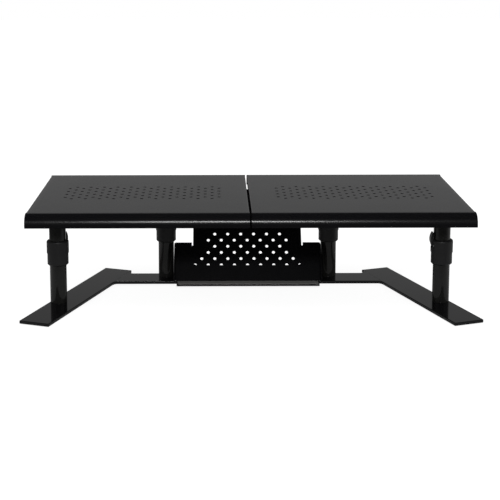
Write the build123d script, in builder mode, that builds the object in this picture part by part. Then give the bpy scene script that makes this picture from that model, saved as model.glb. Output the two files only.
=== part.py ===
from build123d import *
from math import cos, radians, sin, sqrt, tan
import os

# Desk stand for two monitors: two perforated steel platforms side by side, each on two telescopic
# legs, over a flat steel base with an upright rest for a tablet or phone in the middle.
# Frame: origin on the desk in the middle of the footprint, +X to the user's right, +Y away from
# the user, +Z up. All sizes are millimetres and the platforms are at their lowest setting.

# Platforms: pressed sheet with rolled front and rear edges and short flanges along the sides
platform_length = 354.5
platform_depth = 339.0
platform_gap = 3.0
sheet = 1.5
rolled_radius = 16.5
skirt_height = 21.0
skirt_corner = 1.0
side_flange = 12.0
flange_relief = 5.0

# Perforations: every second row is set off by half a pitch
hole_pitch = 23.47
hole_diameter = 5.75
perforated_length = 264.0
perforated_depth = 100.0

# Base: flat bars on rubber pads
bar_thickness = 5.0
bar_width = 50.0
bar_behind_centre = 39.2
foot_width = 51.0
foot_angle = 70.4
foot_front_reach = 48.0
foot_side_reach = 6.0
foot_tail_reach = 37.0
foot_corner = 1.0
weld_radius = 9.0
bar_edge = 0.6

# Rubber pads, set back under the bars where they don't show
pad_thickness = 1.5
pad_width = 14.0
pad_length = 50.0
pad_end_inset = 25.0
pads_per_foot = 3
centre_pad_spacing = 200.0

# Legs: a lower tube in a collar, a post that slides in it and a sleeve over the post
tube_diameter = 27.2
tube_wall = 1.5
post_wall = 1.5
front_leg_setback = 67.0
rear_leg_spacing = 285.2
sleeve_length = 51.4
lift = 38.0
plug_height = 15.0
post_end_gap = 10.5
glide_length = 10.0
stop_gap = 2.0
bush_length = 14.0
bush_wall = 1.5
bush_flange = 1.5

# Collars: two tiers, the upper one a little wider
collar_wall = 3.5
collar_step = 0.85
collar_overlap = 26.4
collar_lower_height = 20.2
collar_upper_height = 20.9
collar_chamfer = 2.0
collar_shoulder = 3.0

# Cam levers: an eccentric hub on a pin in the collar and a curved thumb tab
lever_width = 13.5
lever_height = 20.8
lever_bulge = 4.95
lever_bulge_height = 9.2
lever_thickness = 4.5
lever_tip_reach = 1.2
tip_thickness = 1.6
tip_rounding = 0.7
cam_radius = 3.3
cam_offset = 0.35
pin_diameter = 2.5
pin_inset = 0.6

# The way each lever points, from +X towards +Y: the collars can be turned on their tubes
left_front_heading = 60.0
right_front_heading = 180.0
rear_heading = 90.0

# Mounting plates under the platforms, held by nuts on weld studs
mount_thickness = 3.0
mount_width = 52.0
mount_depth = 76.0
mount_corner = 6.0
stud_spacing_x = 36.0
stud_spacing_y = 60.0
stud_diameter = 5.0
stud_end = 2.0
stud_nut_size = 8.0
stud_nut_height = 4.0

# Screws: one up through the bar into each leg, and grub screws in the collars
leg_screw_diameter = 6.0
leg_screw_head = 12.0
leg_screw_grip = 12.0
leg_socket_size = 4.0
leg_socket_depth = 2.5
grub_diameter = 4.0
grub_inset = 0.3
grub_socket_size = 2.0
grub_socket_depth = 1.6
grub_height = 9.0

# Holder: one bent sheet that leans back, with a shelf, a front lip and side walls. The shelf is
# narrower than the walls are apart, and the walls end just above it
holder_lean = 35.0
holder_side_gap = 1.2
holder_bar_gap = 5.2
shelf_depth = 19.8
shelf_inset = 4.9
lip_height = 3.4
wall_depth = 18.0
wall_clearance = 1.0
bend_radius = 1.5
backrest_width = 190.5
backrest_headroom = 5.1
backrest_corner = 6.0
wing_gap = 3.2
notch_width = 2.2
notch_depth = 5.8
holder_hole_pitch = 22.85
holder_hole_diameter = 5.3
holder_first_row = 29.9
holder_top_margin = 15.0
bottom_row_holes = 9
upper_row_holes = 6
holder_rows = 6

# Mat on the shelf
mat_thickness = 0.8
mat_margin = 1.5

# Stay: an angle behind the holder, screwed to the centre bar
stay_top_margin = 5.0
stay_web_height = 18.7
stay_flange = 14.0
stay_ear_width = 25.8
stay_corner = 12.0
stay_screw_spacing = 80.0
stay_screw_diameter = 4.0
stay_screw_head = 8.0
stay_screw_end = 2.0
stay_nut_size = 7.0
stay_nut_height = 3.2

# Clearances: sliding and pivot fits, screws in plain holes, and pieces that pass each other
fit_play = 0.05
screw_play = 0.15
moving_gap = 0.3

# Heights of the base, and the half sizes that place the platforms
deck_bottom = pad_thickness
deck_top = deck_bottom + bar_thickness
overall_depth = platform_depth + foot_front_reach
platform_x = (platform_length + platform_gap) / 2
platform_y = (overall_depth - platform_depth) / 2
platform_front = platform_y - platform_depth / 2
foot_side = platform_length + platform_gap / 2 + foot_side_reach

# Leg tubes: each bore holds a bush, and the bush holds the post
tube_radius = tube_diameter / 2
tube_bore = tube_radius - tube_wall
bush_radius = tube_bore - fit_play
bush_bore = bush_radius - bush_wall
post_radius = bush_bore - fit_play
post_bore = post_radius - post_wall

# Leg heights: the post's glide stops under the bush when the platform is at its highest
plug_top = deck_top + plug_height
post_bottom = plug_top + post_end_gap
bush_bottom = post_bottom + glide_length + lift + stop_gap
tube_top = bush_bottom + bush_length
collar_seat = tube_top + bush_flange
collar_bottom = tube_top - collar_overlap
collar_mid = collar_bottom + collar_lower_height
collar_top = collar_mid + collar_upper_height
mount_bottom = collar_top + sleeve_length
sheet_bottom = mount_bottom + mount_thickness
platform_top = sheet_bottom + sheet

# Collar radii, and the lever's pivot with the cam's nose just clear of the post
collar_bore = tube_radius + fit_play
collar_radius = collar_bore + collar_wall
collar_upper_radius = collar_radius + collar_step
cam_reach = cam_radius + cam_offset
pivot_radius = post_radius + moving_gap + cam_reach
pivot_height = collar_seat + cam_reach + moving_gap
pin_length = 2 * (sqrt(collar_upper_radius**2 - pivot_radius**2) - pin_inset)

# Centre bar and feet: each foot runs from its front corner to its tail behind the centre bar.
# A foot's core is its outline less the rounded corners, which sets how far the turned foot reaches
bar_y = platform_y + bar_behind_centre
bar_front = bar_y - bar_width / 2
bar_rear = bar_y + bar_width / 2
turn = radians(foot_angle)
foot_span = bar_rear + foot_tail_reach + overall_depth / 2
foot_core_width = foot_width - 2 * foot_corner
foot_core_span = foot_span - 2 * foot_corner
foot_core_length = (foot_core_span - foot_core_width * cos(turn)) / sin(turn)
foot_length = foot_core_length + 2 * foot_corner
foot_core_side = foot_core_length * cos(turn) + foot_core_width * sin(turn)
foot_x = foot_side - foot_corner - foot_core_side / 2
foot_y = (foot_span - overall_depth) / 2
bar_half = foot_x - (bar_y - foot_y) / tan(turn)

# Leg places: front legs flush with the feet's outer edges, rear legs with the bar's rear edge
front_leg_y = platform_front + front_leg_setback
leg_line = foot_width / 2 - tube_radius
front_leg_x = foot_x + (leg_line - (front_leg_y - foot_y) * cos(turn)) / sin(turn)
rear_leg_x = rear_leg_spacing / 2
rear_leg_y = bar_rear - tube_radius

# Plain holes for the base's screws, and the length of the grub screws
leg_hole = leg_screw_diameter / 2 + screw_play
stay_hole = stay_screw_diameter / 2 + screw_play
grub_length = collar_wall + fit_play - grub_inset

# Holder: it fits between the rear tubes and stays under their collars and the platforms
lean = radians(holder_lean)
holder_half = rear_leg_x - tube_radius - holder_side_gap
shelf_top = deck_top + sheet
lip_bottom = shelf_top - lip_height
bend_y = bar_front - holder_bar_gap
shelf_front = bend_y - shelf_depth
wing_top = collar_bottom - wing_gap
wall_bottom = shelf_top + wall_clearance
wall_foot_y = bend_y + wall_clearance * tan(lean)
wall_back_y = wall_foot_y + sheet / cos(lean)
shelf_half = holder_half - shelf_inset
backrest_top = platform_top - side_flange - backrest_headroom
wing_slope = (wing_top - shelf_top) / cos(lean)
backrest_slope = (backrest_top - shelf_top) / cos(lean)
rest_plane = Plane(
    origin=(0, bend_y, shelf_top), x_dir=(1, 0, 0), z_dir=(0, -cos(lean), sin(lean))
)
rest_back = rest_plane.offset(-sheet)

# Stay: its web stands where its ears meet the back of the holder's wings
ear_height = wing_top - stay_top_margin
stay_y = bend_y + (ear_height - shelf_top) * tan(lean) + sheet / cos(lean)
stay_half = holder_half - sheet - bend_radius
stay_screw_y = stay_y - stay_flange / 2
stay_web_top = deck_top + stay_web_height


def foot_plane(side):
    """Plane of a foot bar's underside: side is 1 for the right foot and -1 for the left."""
    along = (side * cos(turn), -sin(turn), 0)
    return Plane(origin=(side * foot_x, foot_y, deck_bottom), x_dir=along, z_dir=(0, 0, 1))


def upright_plane(x, y, angle):
    """Level plane on the desk at a leg's axis, with its X turned to the given angle."""
    heading = (cos(radians(angle)), sin(radians(angle)), 0)
    return Plane(origin=(x, y, 0), x_dir=heading, z_dir=(0, 0, 1))


def lever_plane(leg):
    """Upright plane through a leg's lever pivot: X points away from the leg and Y is up."""
    pivot = leg.from_local_coords((pivot_radius, 0, pivot_height))
    return Plane(origin=pivot, x_dir=leg.x_dir, z_dir=-leg.y_dir)


def foot_location(side):
    """Place of a foot bar's centre in a sketch of the whole base."""
    return Location((side * foot_x, foot_y), -side * foot_angle)


def under_plane(x, y):
    """Plane on the underside of the bars, facing down."""
    return Plane(origin=(x, y, deck_bottom), z_dir=(0, 0, -1))


def rear_plane(x, y, height):
    """Upright plane at a point, facing the rear."""
    return Plane(origin=(x, y, height), x_dir=(-1, 0, 0), z_dir=(0, 1, 0))


# Legs: name, side, axis and the way that the lever points
legs = {
    "left_front": (-front_leg_x, front_leg_y, left_front_heading),
    "left_rear": (-rear_leg_x, rear_leg_y, rear_heading),
    "right_front": (front_leg_x, front_leg_y, right_front_heading),
    "right_rear": (rear_leg_x, rear_leg_y, rear_heading),
}
leg_planes = {name: upright_plane(*place) for name, place in legs.items()}
sides = {"left": -1, "right": 1}

wide_columns = int(perforated_length // hole_pitch) + 1
narrow_rows = int(perforated_depth // hole_pitch) + 1

# The two platforms
for name, side in sides.items():
    centre = (side * platform_x, platform_y)
    with BuildPart() as platform:
        with BuildSketch(Plane.YZ.offset(centre[0] - platform_length / 2)):
            with Locations((platform_y, platform_top - skirt_height / 2)):
                Rectangle(platform_depth, skirt_height)
            with Locations((platform_y, sheet_bottom - skirt_height / 2)):
                Rectangle(platform_depth - 2 * sheet, skirt_height, mode=Mode.SUBTRACT)
            fillet(vertices().group_by(Axis.Y)[-1], rolled_radius)
            fillet(vertices().group_by(Axis.Y)[-2], rolled_radius - sheet)
        extrude(amount=platform_length)
        fillet(edges().filter_by(Axis.Y).group_by(Axis.Z)[0], skirt_corner)
        flange_length = platform_depth - 2 * (rolled_radius + flange_relief)
        flange_x = (platform_length - sheet) / 2
        with BuildSketch(Plane.XY.offset(platform_top)):
            with Locations((centre[0] - flange_x, centre[1]), (centre[0] + flange_x, centre[1])):
                Rectangle(sheet, flange_length)
        extrude(amount=-side_flange)
        with BuildSketch(Plane.XY.offset(platform_top)):
            with Locations(centre):
                with GridLocations(hole_pitch, hole_pitch, wide_columns - 1, narrow_rows):
                    Circle(hole_diameter / 2)
                with GridLocations(hole_pitch, hole_pitch, wide_columns, narrow_rows - 1):
                    Circle(hole_diameter / 2)
        extrude(amount=-sheet, mode=Mode.SUBTRACT)
    platform.part.label = f"{name}_platform"
    export_step(platform.part, f"parts/{name}_platform.step")

# Weld studs under each platform, four to a mounting plate, and their nuts
stud_length = mount_thickness + stud_nut_height + stud_end
for name in sides:
    own_legs = [leg for leg in legs if leg.startswith(name)]
    with BuildPart() as studs:
        with BuildSketch(Plane.XY.offset(sheet_bottom)):
            with Locations(*[legs[leg][:2] for leg in own_legs]):
                with GridLocations(stud_spacing_x, stud_spacing_y, 2, 2):
                    Circle(stud_diameter / 2)
        extrude(amount=-stud_length)
    studs.part.label = f"{name}_platform_studs"
    export_step(studs.part, f"parts/{name}_platform_studs.step")

    with BuildPart() as nuts:
        with BuildSketch(Plane.XY.offset(mount_bottom)):
            with Locations(*[legs[leg][:2] for leg in own_legs]):
                with GridLocations(stud_spacing_x, stud_spacing_y, 2, 2):
                    RegularPolygon(stud_nut_size / 2, 6, major_radius=False)
                    Circle(stud_diameter / 2, mode=Mode.SUBTRACT)
        extrude(amount=-stud_nut_height)
    nuts.part.label = f"{name}_platform_nuts"
    export_step(nuts.part, f"parts/{name}_platform_nuts.step")

# The four legs
for name, leg in leg_planes.items():
    x, y, lever_angle = legs[name]
    lever = lever_plane(leg)

    with BuildPart() as mounting_plate:
        with BuildSketch(Plane.XY.offset(mount_bottom)):
            with Locations((x, y)):
                RectangleRounded(mount_width, mount_depth, mount_corner)
                with GridLocations(stud_spacing_x, stud_spacing_y, 2, 2):
                    Circle(stud_diameter / 2 + screw_play, mode=Mode.SUBTRACT)
        extrude(amount=mount_thickness)
    mounting_plate.part.label = f"{name}_mounting_plate"
    export_step(mounting_plate.part, f"parts/{name}_mounting_plate.step")

    with BuildPart() as upper_sleeve:
        with BuildSketch(leg.offset(collar_top)):
            Circle(tube_radius)
            Circle(tube_bore, mode=Mode.SUBTRACT)
        extrude(amount=sleeve_length)
    upper_sleeve.part.label = f"{name}_upper_sleeve"
    export_step(upper_sleeve.part, f"parts/{name}_upper_sleeve.step")

    with BuildPart() as inner_post:
        with BuildSketch(leg.offset(post_bottom)):
            Circle(post_radius)
            Circle(post_bore, mode=Mode.SUBTRACT)
        extrude(amount=mount_bottom - post_bottom)
    inner_post.part.label = f"{name}_inner_post"
    export_step(inner_post.part, f"parts/{name}_inner_post.step")

    with BuildPart() as post_glide:
        with BuildSketch(leg.offset(post_bottom)):
            Circle(tube_bore - fit_play)
            Circle(post_radius, mode=Mode.SUBTRACT)
        extrude(amount=glide_length)
    post_glide.part.label = f"{name}_post_glide"
    export_step(post_glide.part, f"parts/{name}_post_glide.step")

    with BuildPart() as lower_tube:
        with BuildSketch(leg.offset(deck_top)):
            Circle(tube_radius)
            Circle(tube_bore, mode=Mode.SUBTRACT)
        extrude(amount=tube_top - deck_top)
    lower_tube.part.label = f"{name}_lower_tube"
    export_step(lower_tube.part, f"parts/{name}_lower_tube.step")

    with BuildPart() as tube_plug:
        with BuildSketch(leg.offset(deck_top)):
            Circle(tube_bore)
            Circle(leg_screw_diameter / 2, mode=Mode.SUBTRACT)
        extrude(amount=plug_height)
        chamfer(edges().group_by(Axis.Z)[-1], sheet / 2)
    tube_plug.part.label = f"{name}_tube_plug"
    export_step(tube_plug.part, f"parts/{name}_tube_plug.step")

    with BuildPart() as guide_bush:
        with BuildSketch(leg.offset(bush_bottom)):
            Circle(bush_radius)
            Circle(bush_bore, mode=Mode.SUBTRACT)
        extrude(amount=bush_length)
        with BuildSketch(leg.offset(tube_top)):
            Circle(tube_radius)
            Circle(bush_bore, mode=Mode.SUBTRACT)
        extrude(amount=bush_flange)
    guide_bush.part.label = f"{name}_guide_bush"
    export_step(guide_bush.part, f"parts/{name}_guide_bush.step")

    # The collar has a window for the cam, a recess for the tab and cross holes for pin and grub
    slot_width = lever_width + 2 * moving_gap
    window_height = 2 * (cam_reach + moving_gap)
    recess_start = tube_radius + moving_gap
    with BuildPart() as collar:
        with BuildSketch(leg.offset(collar_bottom)):
            Circle(collar_radius)
        extrude(amount=collar_lower_height)
        with BuildSketch(leg.offset(collar_mid)):
            Circle(collar_upper_radius)
        extrude(amount=collar_upper_height)
        chamfer(edges().group_by(Axis.Z)[0], collar_chamfer)
        fillet(edges().group_by(Axis.Z)[-1], collar_shoulder)
        with BuildSketch(leg.offset(collar_bottom)):
            Circle(collar_bore)
        extrude(amount=collar_seat - collar_bottom, mode=Mode.SUBTRACT)
        with BuildSketch(leg.offset(collar_seat)):
            Circle(post_radius + moving_gap)
        extrude(amount=collar_top - collar_seat, mode=Mode.SUBTRACT)
        with BuildSketch(leg.offset(collar_seat)):
            with Locations((collar_upper_radius / 2, 0)):
                Rectangle(collar_upper_radius, slot_width)
        extrude(amount=window_height, mode=Mode.SUBTRACT)
        with BuildSketch(leg.offset(collar_seat)):
            with Locations((recess_start + collar_upper_radius / 2, 0)):
                Rectangle(collar_upper_radius, slot_width)
        extrude(amount=collar_top - collar_seat, mode=Mode.SUBTRACT)
        with BuildSketch(lever):
            Circle(pin_diameter / 2)
        extrude(amount=pin_length / 2 + pin_inset, both=True, mode=Mode.SUBTRACT)
        with BuildSketch(rear_plane(x, y, collar_bottom + grub_height)):
            Circle(grub_diameter / 2)
        extrude(amount=collar_radius, mode=Mode.SUBTRACT)
    collar.part.label = f"{name}_collar"
    export_step(collar.part, f"parts/{name}_collar.step")

    with BuildPart() as lever_pin:
        with BuildSketch(lever):
            Circle(pin_diameter / 2)
        extrude(amount=pin_length / 2, both=True)
    lever_pin.part.label = f"{name}_lever_pin"
    export_step(lever_pin.part, f"parts/{name}_lever_pin.step")

    # The tab leaves the hub's outer side, bows outwards and ends near the sleeve
    hub_side = (cam_radius - cam_offset, 0)
    hub_top = (-cam_offset, cam_radius)
    bulge_outer = (lever_bulge, lever_bulge_height)
    bulge_inner = (lever_bulge - lever_thickness, lever_bulge_height)
    tip_outer = (lever_tip_reach, lever_height)
    tip_inner = (lever_tip_reach - tip_thickness, lever_height - tip_rounding)
    with BuildPart() as cam_lever:
        with BuildSketch(lever):
            with BuildLine():
                ThreePointArc(hub_side, bulge_outer, tip_outer)
                Line(tip_outer, tip_inner)
                ThreePointArc(tip_inner, bulge_inner, hub_top)
                Line(hub_top, hub_side)
            make_face()
            with Locations((-cam_offset, 0)):
                Circle(cam_radius)
            Circle(pin_diameter / 2 + fit_play, mode=Mode.SUBTRACT)
        extrude(amount=lever_width / 2, both=True)
        tip_edges = edges().filter_by(Axis(lever.origin, leg.y_dir)).sort_by(Axis.Z)[-2:]
        fillet(tip_edges, tip_rounding)
    cam_lever.part.label = f"{name}_cam_lever"
    export_step(cam_lever.part, f"parts/{name}_cam_lever.step")

# Grub screws that hold the collars on the lower tubes, set in from the rear
with BuildPart() as collar_grub_screws:
    for x, y, lever_angle in legs.values():
        height = collar_bottom + grub_height
        with BuildSketch(rear_plane(x, y + tube_radius, height)):
            Circle(grub_diameter / 2)
        extrude(amount=grub_length)
        with BuildSketch(rear_plane(x, y + tube_radius + grub_length, height)):
            RegularPolygon(grub_socket_size / 2, 6, major_radius=False)
        extrude(amount=-grub_socket_depth, mode=Mode.SUBTRACT)
collar_grub_screws.part.label = "collar_grub_screws"
export_step(collar_grub_screws.part, "parts/collar_grub_screws.step")

# Countersunk screws from under the bars into the plugs of the lower tubes
with BuildPart() as leg_base_screws:
    for x, y, lever_angle in legs.values():
        shank = leg_screw_diameter / 2
        head = leg_screw_head / 2
        tip = deck_top + leg_screw_grip
        with BuildSketch(Plane.XZ.offset(-y)):
            with BuildLine():
                Polyline(
                    (x, deck_bottom),
                    (x + head, deck_bottom),
                    (x + shank, deck_bottom + head - shank),
                    (x + shank, tip),
                    (x, tip),
                    close=True,
                )
            make_face()
        revolve(axis=Axis((x, y, 0), (0, 0, 1)))
        with BuildSketch(Plane.XY.offset(deck_bottom)):
            with Locations((x, y)):
                RegularPolygon(leg_socket_size / 2, 6, major_radius=False)
        extrude(amount=leg_socket_depth, mode=Mode.SUBTRACT)
leg_base_screws.part.label = "leg_base_screws"
export_step(leg_base_screws.part, "parts/leg_base_screws.step")

# Centre bar: its ends meet the feet in welds that are ground to a smooth corner
stay_screws = [(side * stay_screw_spacing / 2, stay_screw_y) for side in sides.values()]
with BuildPart() as centre_bar:
    with BuildSketch(Plane.XY.offset(deck_bottom)):
        with Locations((0, bar_y)):
            Rectangle(2 * bar_half, bar_width)
        for side in sides.values():
            with Locations(foot_location(side)):
                Rectangle(foot_length, foot_width)
        for edge_y in (bar_front, bar_rear):
            near_edge = vertices().filter_by_position(Axis.Y, edge_y - fit_play, edge_y + fit_play)
            fillet(near_edge, weld_radius)
        for side in sides.values():
            with Locations(foot_location(side)):
                Rectangle(foot_length, foot_width, mode=Mode.SUBTRACT)
    extrude(amount=bar_thickness)
    with Locations(under_plane(-rear_leg_x, rear_leg_y), under_plane(rear_leg_x, rear_leg_y)):
        CounterSinkHole(leg_hole, leg_screw_head / 2, counter_sink_angle=90)
    with Locations(*[under_plane(*place) for place in stay_screws]):
        CounterSinkHole(stay_hole, stay_screw_head / 2, counter_sink_angle=90)
centre_bar.part.label = "centre_bar"
export_step(centre_bar.part, "parts/centre_bar.step")

# The two foot bars and the rubber pads under them
for name, side in sides.items():
    underside = foot_plane(side)
    with BuildPart() as foot_bar:
        with BuildSketch(underside):
            RectangleRounded(foot_length, foot_width, foot_corner)
        extrude(amount=bar_thickness)
        chamfer(edges().group_by(Axis.Z)[-1], bar_edge)
        with Locations(under_plane(side * front_leg_x, front_leg_y)):
            CounterSinkHole(leg_hole, leg_screw_head / 2, counter_sink_angle=90)
    foot_bar.part.label = f"{name}_foot_bar"
    export_step(foot_bar.part, f"parts/{name}_foot_bar.step")

    pad_spacing = (foot_length - 2 * pad_end_inset - pad_length) / (pads_per_foot - 1)
    with BuildPart() as foot_pads:
        with BuildSketch(underside):
            with GridLocations(pad_spacing, pad_width, pads_per_foot, 1):
                RectangleRounded(pad_length, pad_width, pad_width / 4)
        extrude(amount=-pad_thickness)
    foot_pads.part.label = f"{name}_foot_pads"
    export_step(foot_pads.part, f"parts/{name}_foot_pads.step")

with BuildPart() as centre_pads:
    with BuildSketch(Plane.XY):
        with Locations((0, bar_y)):
            with GridLocations(centre_pad_spacing, pad_width, 2, 1):
                RectangleRounded(pad_length, pad_width, pad_width / 4)
    extrude(amount=pad_thickness)
centre_pads.part.label = "centre_pads"
export_step(centre_pads.part, "parts/centre_pads.step")

# Holder: the bent strip of backrest, shelf and lip, cut to outline, then its side walls
wing_front = rest_plane.from_local_coords((0, wing_slope, 0))
wing_back = rest_plane.from_local_coords((0, wing_slope, -sheet))
top_front = rest_plane.from_local_coords((0, backrest_slope, 0))
shoulder_width = holder_half - backrest_width / 2
shoulder_x = holder_half - shoulder_width / 2
notch_x = backrest_width / 2 + notch_width / 2
row_rise = holder_hole_pitch / 2
fitting_rows = int((backrest_slope - holder_top_margin - holder_first_row) // row_rise) + 1
with BuildPart() as holder_plate:
    with BuildSketch(Plane.YZ.offset(-holder_half)):
        with BuildLine():
            front_line = FilletPolyline(
                (shelf_front, lip_bottom),
                (shelf_front, shelf_top),
                (bend_y, shelf_top),
                (top_front.Y, top_front.Z),
                radius=bend_radius,
            )
            offset(front_line, amount=sheet, side=Side.RIGHT, closed=True)
        make_face()
    extrude(amount=2 * holder_half)
    with BuildSketch(rest_plane):
        for side in sides.values():
            with Locations((side * shoulder_x, (wing_slope + backrest_slope) / 2)):
                Rectangle(shoulder_width, backrest_slope - wing_slope)
            with Locations((side * notch_x, wing_slope - notch_depth / 2)):
                Rectangle(notch_width, notch_depth)
    extrude(amount=sheet, both=True, mode=Mode.SUBTRACT)
    through = edges().filter_by(Axis(rest_plane.origin, rest_plane.z_dir))
    fillet(through.group_by(Axis.Z)[-1], backrest_corner)
    with BuildSketch(Plane.XY.offset(wall_bottom)):
        for side in sides.values():
            with Locations((side * (shelf_half + holder_half) / 2, (shelf_front + wall_back_y) / 2)):
                Rectangle(shelf_inset, wall_back_y - shelf_front)
    extrude(amount=lip_bottom - wall_bottom, mode=Mode.SUBTRACT)
    with BuildSketch(rest_plane):
        for row in range(min(holder_rows, fitting_rows)):
            count = bottom_row_holes - row
            if count < upper_row_holes:
                count = upper_row_holes + (upper_row_holes - count) % 2
            with Locations((0, holder_first_row + row * row_rise)):
                with GridLocations(holder_hole_pitch, holder_hole_pitch, count, 1):
                    Circle(holder_hole_diameter / 2)
    extrude(amount=sheet, both=True, mode=Mode.SUBTRACT)
    for side in sides.values():
        with BuildSketch(Plane.YZ.offset(side * holder_half)):
            with BuildLine():
                Polyline(
                    (wall_foot_y - wall_depth, wall_bottom),
                    (wing_front.Y - wall_depth, wing_top),
                    (wing_front.Y, wing_top),
                    (wing_back.Y, wing_back.Z),
                    (wall_back_y, wall_bottom),
                    close=True,
                )
            make_face()
        extrude(amount=-side * sheet)
holder_plate.part.label = "holder_plate"
export_step(holder_plate.part, "parts/holder_plate.step")

# Mat that keeps a tablet from sliding, glued to the shelf
mat_front = shelf_front + bend_radius
mat_back = bend_y - bend_radius
with BuildPart() as shelf_mat:
    with BuildSketch(Plane.XY.offset(shelf_top)):
        with Locations((0, (mat_front + mat_back) / 2)):
            RectangleRounded(2 * (shelf_half - mat_margin), mat_back - mat_front, mat_margin)
    extrude(amount=mat_thickness)
shelf_mat.part.label = "shelf_mat"
export_step(shelf_mat.part, "parts/shelf_mat.step")

# Stay: its ears end on the backs of the holder's wings
cut_height = wing_top - stay_web_top
cut_width = 2 * (stay_half - stay_ear_width)
with BuildPart() as holder_stay:
    with BuildSketch(Plane.XZ.offset(-stay_y)):
        with Locations((0, (deck_top + wing_top) / 2)):
            Rectangle(2 * stay_half, wing_top - deck_top)
        with Locations((0, wing_top)):
            RectangleRounded(cut_width, 2 * cut_height, stay_corner, mode=Mode.SUBTRACT)
    extrude(amount=-sheet)
    split(bisect_by=rest_back, keep=Keep.BOTTOM)
    with BuildSketch(Plane.XY.offset(deck_top)):
        with Locations((0, stay_screw_y)):
            Rectangle(2 * stay_half, stay_flange)
        with Locations(*stay_screws):
            Circle(stay_hole, mode=Mode.SUBTRACT)
    extrude(amount=sheet)
holder_stay.part.label = "holder_stay"
export_step(holder_stay.part, "parts/holder_stay.step")

# The stay's countersunk screws and nuts
with BuildPart() as stay_screw_set:
    for x, y in stay_screws:
        shank = stay_screw_diameter / 2
        head = stay_screw_head / 2
        tip = deck_top + sheet + stay_nut_height + stay_screw_end
        with BuildSketch(Plane.XZ.offset(-y)):
            with BuildLine():
                Polyline(
                    (x, deck_bottom),
                    (x + head, deck_bottom),
                    (x + shank, deck_bottom + head - shank),
                    (x + shank, tip),
                    (x, tip),
                    close=True,
                )
            make_face()
        revolve(axis=Axis((x, y, 0), (0, 0, 1)))
stay_screw_set.part.label = "stay_screws"
export_step(stay_screw_set.part, "parts/stay_screws.step")

with BuildPart() as stay_nuts:
    with BuildSketch(Plane.XY.offset(deck_top + sheet)):
        with Locations(*stay_screws):
            RegularPolygon(stay_nut_size / 2, 6, major_radius=False)
            Circle(stay_screw_diameter / 2, mode=Mode.SUBTRACT)
    extrude(amount=stay_nut_height)
stay_nuts.part.label = "stay_nuts"
export_step(stay_nuts.part, "parts/stay_nuts.step")
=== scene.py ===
from math import cos, pi, radians, sin, tan

import bmesh
import bpy
import numpy as np
from mathutils import Matrix, Vector


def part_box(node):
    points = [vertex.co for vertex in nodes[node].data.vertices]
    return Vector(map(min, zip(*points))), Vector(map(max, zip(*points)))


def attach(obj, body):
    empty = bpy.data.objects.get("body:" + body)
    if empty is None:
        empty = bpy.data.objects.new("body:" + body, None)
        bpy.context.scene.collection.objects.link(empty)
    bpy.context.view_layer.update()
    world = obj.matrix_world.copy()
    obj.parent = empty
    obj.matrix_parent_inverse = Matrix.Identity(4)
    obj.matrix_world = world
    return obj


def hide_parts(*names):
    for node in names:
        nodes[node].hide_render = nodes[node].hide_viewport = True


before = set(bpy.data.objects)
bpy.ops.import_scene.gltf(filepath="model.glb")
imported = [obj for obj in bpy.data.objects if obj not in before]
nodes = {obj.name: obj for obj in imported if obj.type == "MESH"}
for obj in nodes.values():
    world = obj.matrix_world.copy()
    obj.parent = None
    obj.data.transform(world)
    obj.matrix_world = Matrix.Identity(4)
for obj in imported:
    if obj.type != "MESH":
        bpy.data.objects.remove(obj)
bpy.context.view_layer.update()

# Foot bars: two flat steel bars laid slantwise, saw-cut with eased corners and coated black.
# The coat is a gloss powder: it flows out smooth, so the bars mirror the legs above them.
mm = 0.001


def linear(code):
    """The linear colour of an sRGB hex code, with an alpha of 1."""
    parts = [int(code[i:i + 2], 16) / 255 for i in (1, 3, 5)]
    return [p / 12.92 if p <= 0.04045 else ((p + 0.055) / 1.055) ** 2.4 for p in parts] + [1.0]


def waves(width):
    """The scale of a pattern, in waves a metre, from the width of its spots in millimetres."""
    return 1 / (width * mm)


def add_node(tree, kind, values=None, links=None, **settings):
    """Adds a node: settings are its own, values are put in its sockets and links join them."""
    node = tree.nodes.new(kind)
    for key, value in settings.items():
        setattr(node, key, value)
    for key, value in (values or {}).items():
        node.inputs[key].default_value = value
    for key, source in (links or {}).items():
        tree.links.new(source, node.inputs[key])
    return node


def new_material(name):
    """A node material with its shader and output, and the piece's object coordinates."""
    material = bpy.data.materials.new(name)
    material.use_nodes = True
    tree = material.node_tree
    tree.nodes.clear()
    place = add_node(tree, "ShaderNodeTexCoord").outputs["Object"]
    shader = add_node(tree, "ShaderNodeBsdfPrincipled")
    add_node(tree, "ShaderNodeOutputMaterial", links={"Surface": shader.outputs["BSDF"]})
    return material, tree, place, shader


def set_faces(name, points, faces, material):
    """A smooth mesh object from points in millimetres and quads, its shared points merged."""
    same_point = 0.002 * mm
    no_length = 0.001 * mm
    mesh = bpy.data.meshes.new(name)
    quads = np.asarray(faces).reshape(-1, 4)
    mesh.vertices.add(len(points))
    mesh.vertices.foreach_set("co", (np.asarray(points, dtype=float) * mm).ravel())
    mesh.loops.add(quads.size)
    mesh.loops.foreach_set("vertex_index", quads.ravel())
    mesh.polygons.add(len(quads))
    mesh.polygons.foreach_set("loop_start", np.arange(0, quads.size, 4))
    mesh.update(calc_edges=True)
    work = bmesh.new()
    work.from_mesh(mesh)
    bmesh.ops.remove_doubles(work, verts=work.verts, dist=same_point)
    bmesh.ops.dissolve_degenerate(work, edges=work.edges, dist=no_length)
    bmesh.ops.delete(work, geom=[v for v in work.verts if not v.link_faces], context="VERTS")
    work.to_mesh(mesh)
    work.free()
    mesh.polygons.foreach_set("use_smooth", [True] * len(mesh.polygons))
    mesh.materials.append(material)
    piece = bpy.data.objects.new(name, mesh)
    bpy.context.scene.collection.objects.link(piece)
    return piece


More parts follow.
